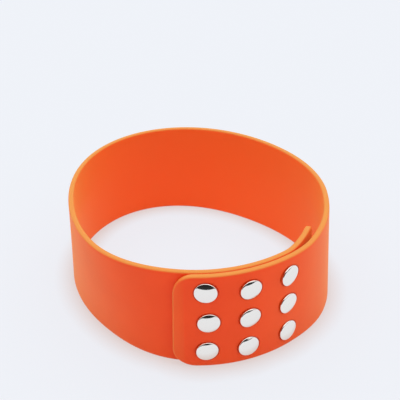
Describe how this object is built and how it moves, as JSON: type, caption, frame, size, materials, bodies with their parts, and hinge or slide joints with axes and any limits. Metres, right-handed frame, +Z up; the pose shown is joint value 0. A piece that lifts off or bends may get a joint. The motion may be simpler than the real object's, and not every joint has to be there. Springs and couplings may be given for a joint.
{
  "type": "press-stud collar band",
  "caption": "Wide elastomer band that wraps into a ring and closes with a grid of domed metal press studs on an overlapping flap.",
  "frame": {"origin": "on the axis of the ring, in the plane of its lower rim", "axes": "+Z up along the neck passage; -Y towards the side with the press studs; +X to the right seen from there"},
  "size_m": [0.1285, 0.1392, 0.05],
  "materials": {
    "strap_elastomer": "satin red-orange silicone",
    "cap_nickel": "mirror-polished nickel plate",
    "socket_steel": "nickel-plated, bright but not polished",
    "spring_steel": "drawn spring wire"
  },
  "bodies": {
    "band": {"strap_band": "strap_elastomer", "strap_tongue": "strap_elastomer", "stud_top_tip": "socket_steel", "stud_middle_tip": "socket_steel", "stud_bottom_tip": "socket_steel", "stud_top_mid": "socket_steel", "stud_middle_mid": "socket_steel", "stud_bottom_mid": "socket_steel", "stud_top_root": "socket_steel", "stud_middle_root": "socket_steel", "stud_bottom_root": "socket_steel", "eyelet_top_tip": "socket_steel", "eyelet_middle_tip": "socket_steel", "eyelet_bottom_tip": "socket_steel", "eyelet_top_mid": "socket_steel", "eyelet_middle_mid": "socket_steel", "eyelet_bottom_mid": "socket_steel", "eyelet_top_root": "socket_steel", "eyelet_middle_root": "socket_steel", "eyelet_bottom_root": "socket_steel"},
    "tongue_tail": {"strap_tail": "strap_elastomer"},
    "flap_root": {"strap_flap_root": "strap_elastomer", "cap_top_root": "cap_nickel", "cap_middle_root": "cap_nickel", "cap_bottom_root": "cap_nickel", "socket_top_root": "socket_steel", "socket_middle_root": "socket_steel", "socket_bottom_root": "socket_steel", "ring_spring_top_root": "spring_steel", "ring_spring_middle_root": "spring_steel", "ring_spring_bottom_root": "spring_steel"},
    "flap_mid": {"strap_flap_mid": "strap_elastomer", "cap_top_mid": "cap_nickel", "cap_middle_mid": "cap_nickel", "cap_bottom_mid": "cap_nickel", "socket_top_mid": "socket_steel", "socket_middle_mid": "socket_steel", "socket_bottom_mid": "socket_steel", "ring_spring_top_mid": "spring_steel", "ring_spring_middle_mid": "spring_steel", "ring_spring_bottom_mid": "spring_steel"},
    "flap_tip": {"strap_flap_tip": "strap_elastomer", "cap_top_tip": "cap_nickel", "cap_middle_tip": "cap_nickel", "cap_bottom_tip": "cap_nickel", "socket_top_tip": "socket_steel", "socket_middle_tip": "socket_steel", "socket_bottom_tip": "socket_steel", "ring_spring_top_tip": "spring_steel", "ring_spring_middle_tip": "spring_steel", "ring_spring_bottom_tip": "spring_steel"}
  },
  "joints": [
    {"name": "flap_root_peel", "type": "hinge", "parent": "band", "child": "flap_root", "pos_m": [0.04791, -0.05206, 0.025], "axis": [0, 0, 1], "range_deg": [0, 60]},
    {"name": "flap_mid_peel", "type": "hinge", "parent": "flap_root", "child": "flap_mid", "pos_m": [0.03224, -0.06294, 0.025], "axis": [0, 0, 1], "range_deg": [0, 48]},
    {"name": "flap_tip_peel", "type": "hinge", "parent": "flap_mid", "child": "flap_tip", "pos_m": [0.01413, -0.06903, 0.025], "axis": [0, 0, 1], "range_deg": [0, 48]},
    {"name": "tongue_tail_flex", "type": "hinge", "parent": "band", "child": "tongue_tail", "pos_m": [0.04209, -0.04885, 0.025], "axis": [0, 0, 1], "range_deg": [0, 40]}
  ]
}
